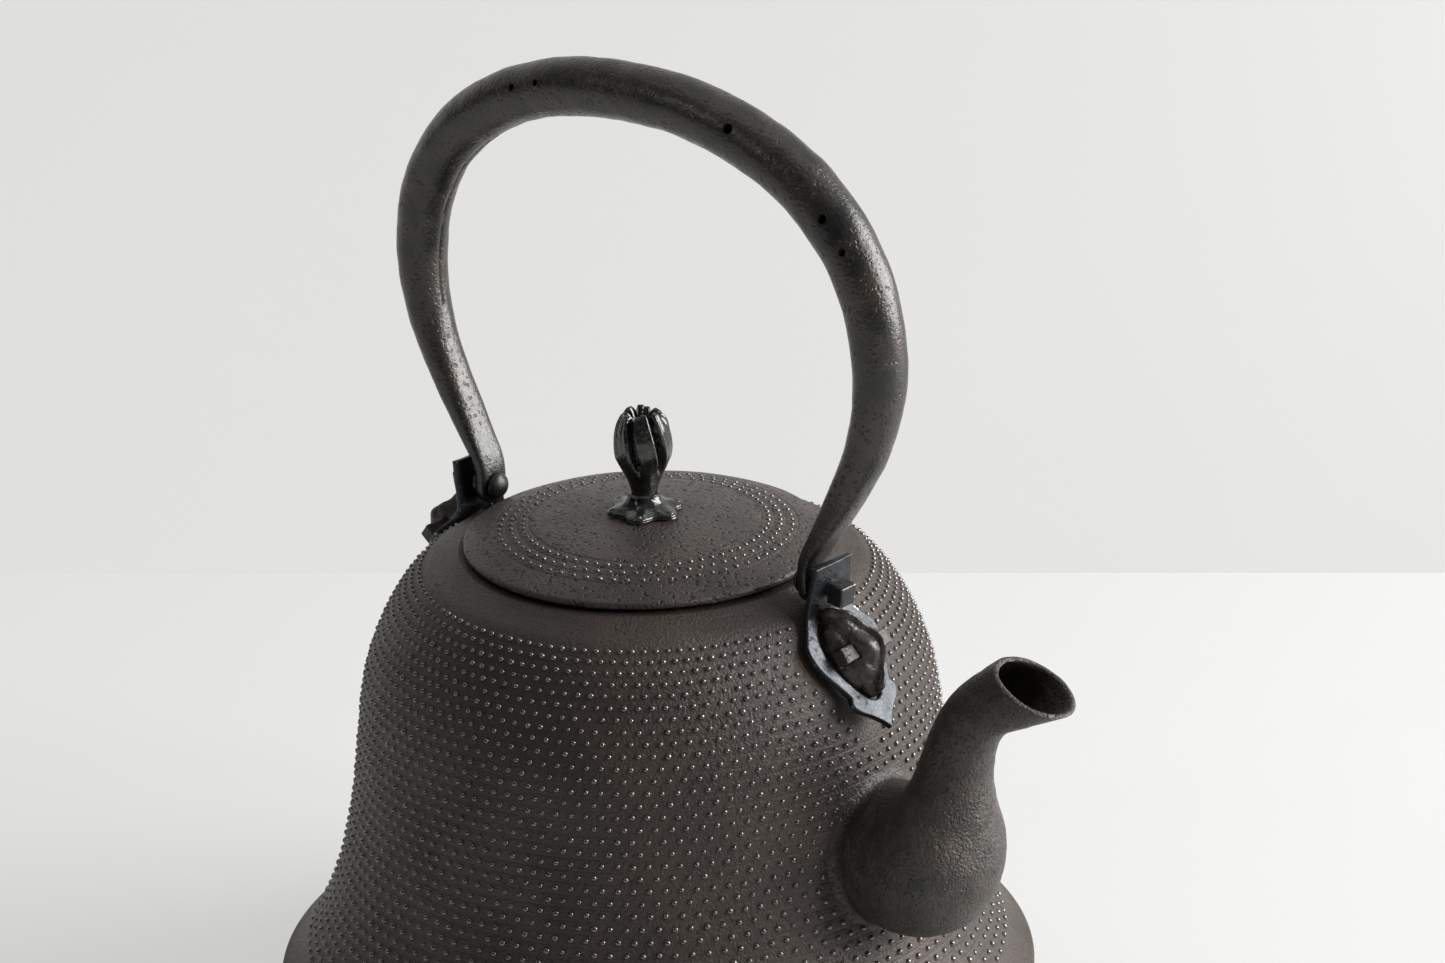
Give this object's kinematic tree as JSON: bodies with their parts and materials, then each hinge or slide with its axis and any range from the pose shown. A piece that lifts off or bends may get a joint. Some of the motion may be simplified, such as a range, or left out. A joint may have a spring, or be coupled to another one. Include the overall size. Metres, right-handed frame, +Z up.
{
  "type": "cast-iron teapot kettle with infuser",
  "caption": "Bell-shaped cast-iron tea kettle with base flange, S-curved spout, hinged hollow bail handle, lift-off lid with bud knob, and a hanging perforated infuser basket.",
  "frame": {"origin": "centre of the flat underside of the base, on the kettle's vertical axis", "axes": "+Z up along the kettle's axis, +X from the axis towards the spout, +Y to the left seen from behind the handle's rear foot"},
  "size_m": [0.23, 0.198, 0.2566],
  "materials": {
    "cast_iron": "matt brown-black cast skin with fine pitting",
    "dark_lug_iron": "dark cast skin, worn satin on the high points",
    "handle_iron": "forged iron, satin black patina with pits and hammer marks",
    "bracket_steel": "dark burnished steel with bright worn edges",
    "browned_pin": "brown oxidised iron",
    "knob_metal": "black patinated casting, semi-gloss",
    "basket_steel": "satin stainless steel sheet"
  },
  "bodies": {
    "kettle": {"body_shell": "cast_iron", "spout": "cast_iron", "front_lug": "dark_lug_iron", "rear_lug": "dark_lug_iron", "front_bracket": "bracket_steel", "rear_bracket": "bracket_steel", "front_cross_pin": "browned_pin", "rear_cross_pin": "browned_pin", "front_stud": "handle_iron", "rear_stud": "handle_iron", "front_spacer": "bracket_steel", "rear_spacer": "bracket_steel"},
    "handle": {"handle_tube": "handle_iron"},
    "infuser": {"infuser_rim": "basket_steel", "infuser_wall": "basket_steel", "infuser_base": "basket_steel"},
    "lid": {"lid_plate": "cast_iron", "knob_seat": "knob_metal", "knob_washer": "bracket_steel"},
    "knob": {"knob_bud": "knob_metal"}
  },
  "joints": [
    {"name": "handle_swing", "type": "hinge", "parent": "kettle", "child": "handle", "pos_m": [0, 0, 0.136], "axis": [1, 0, 0], "range_deg": [-80, 80]},
    {"name": "infuser_lift", "type": "slide", "parent": "kettle", "child": "infuser", "axis": [0, 0, 1], "range_m": [0, 0.034]},
    {"name": "lid_lift", "type": "slide", "parent": "infuser", "child": "lid", "axis": [0, 0, 1], "range_m": [0, 0.026]},
    {"name": "knob_turn", "type": "hinge", "parent": "lid", "child": "knob", "pos_m": [0, 0, 0.15], "axis": [0, 0, 1], "continuous": true}
  ]
}
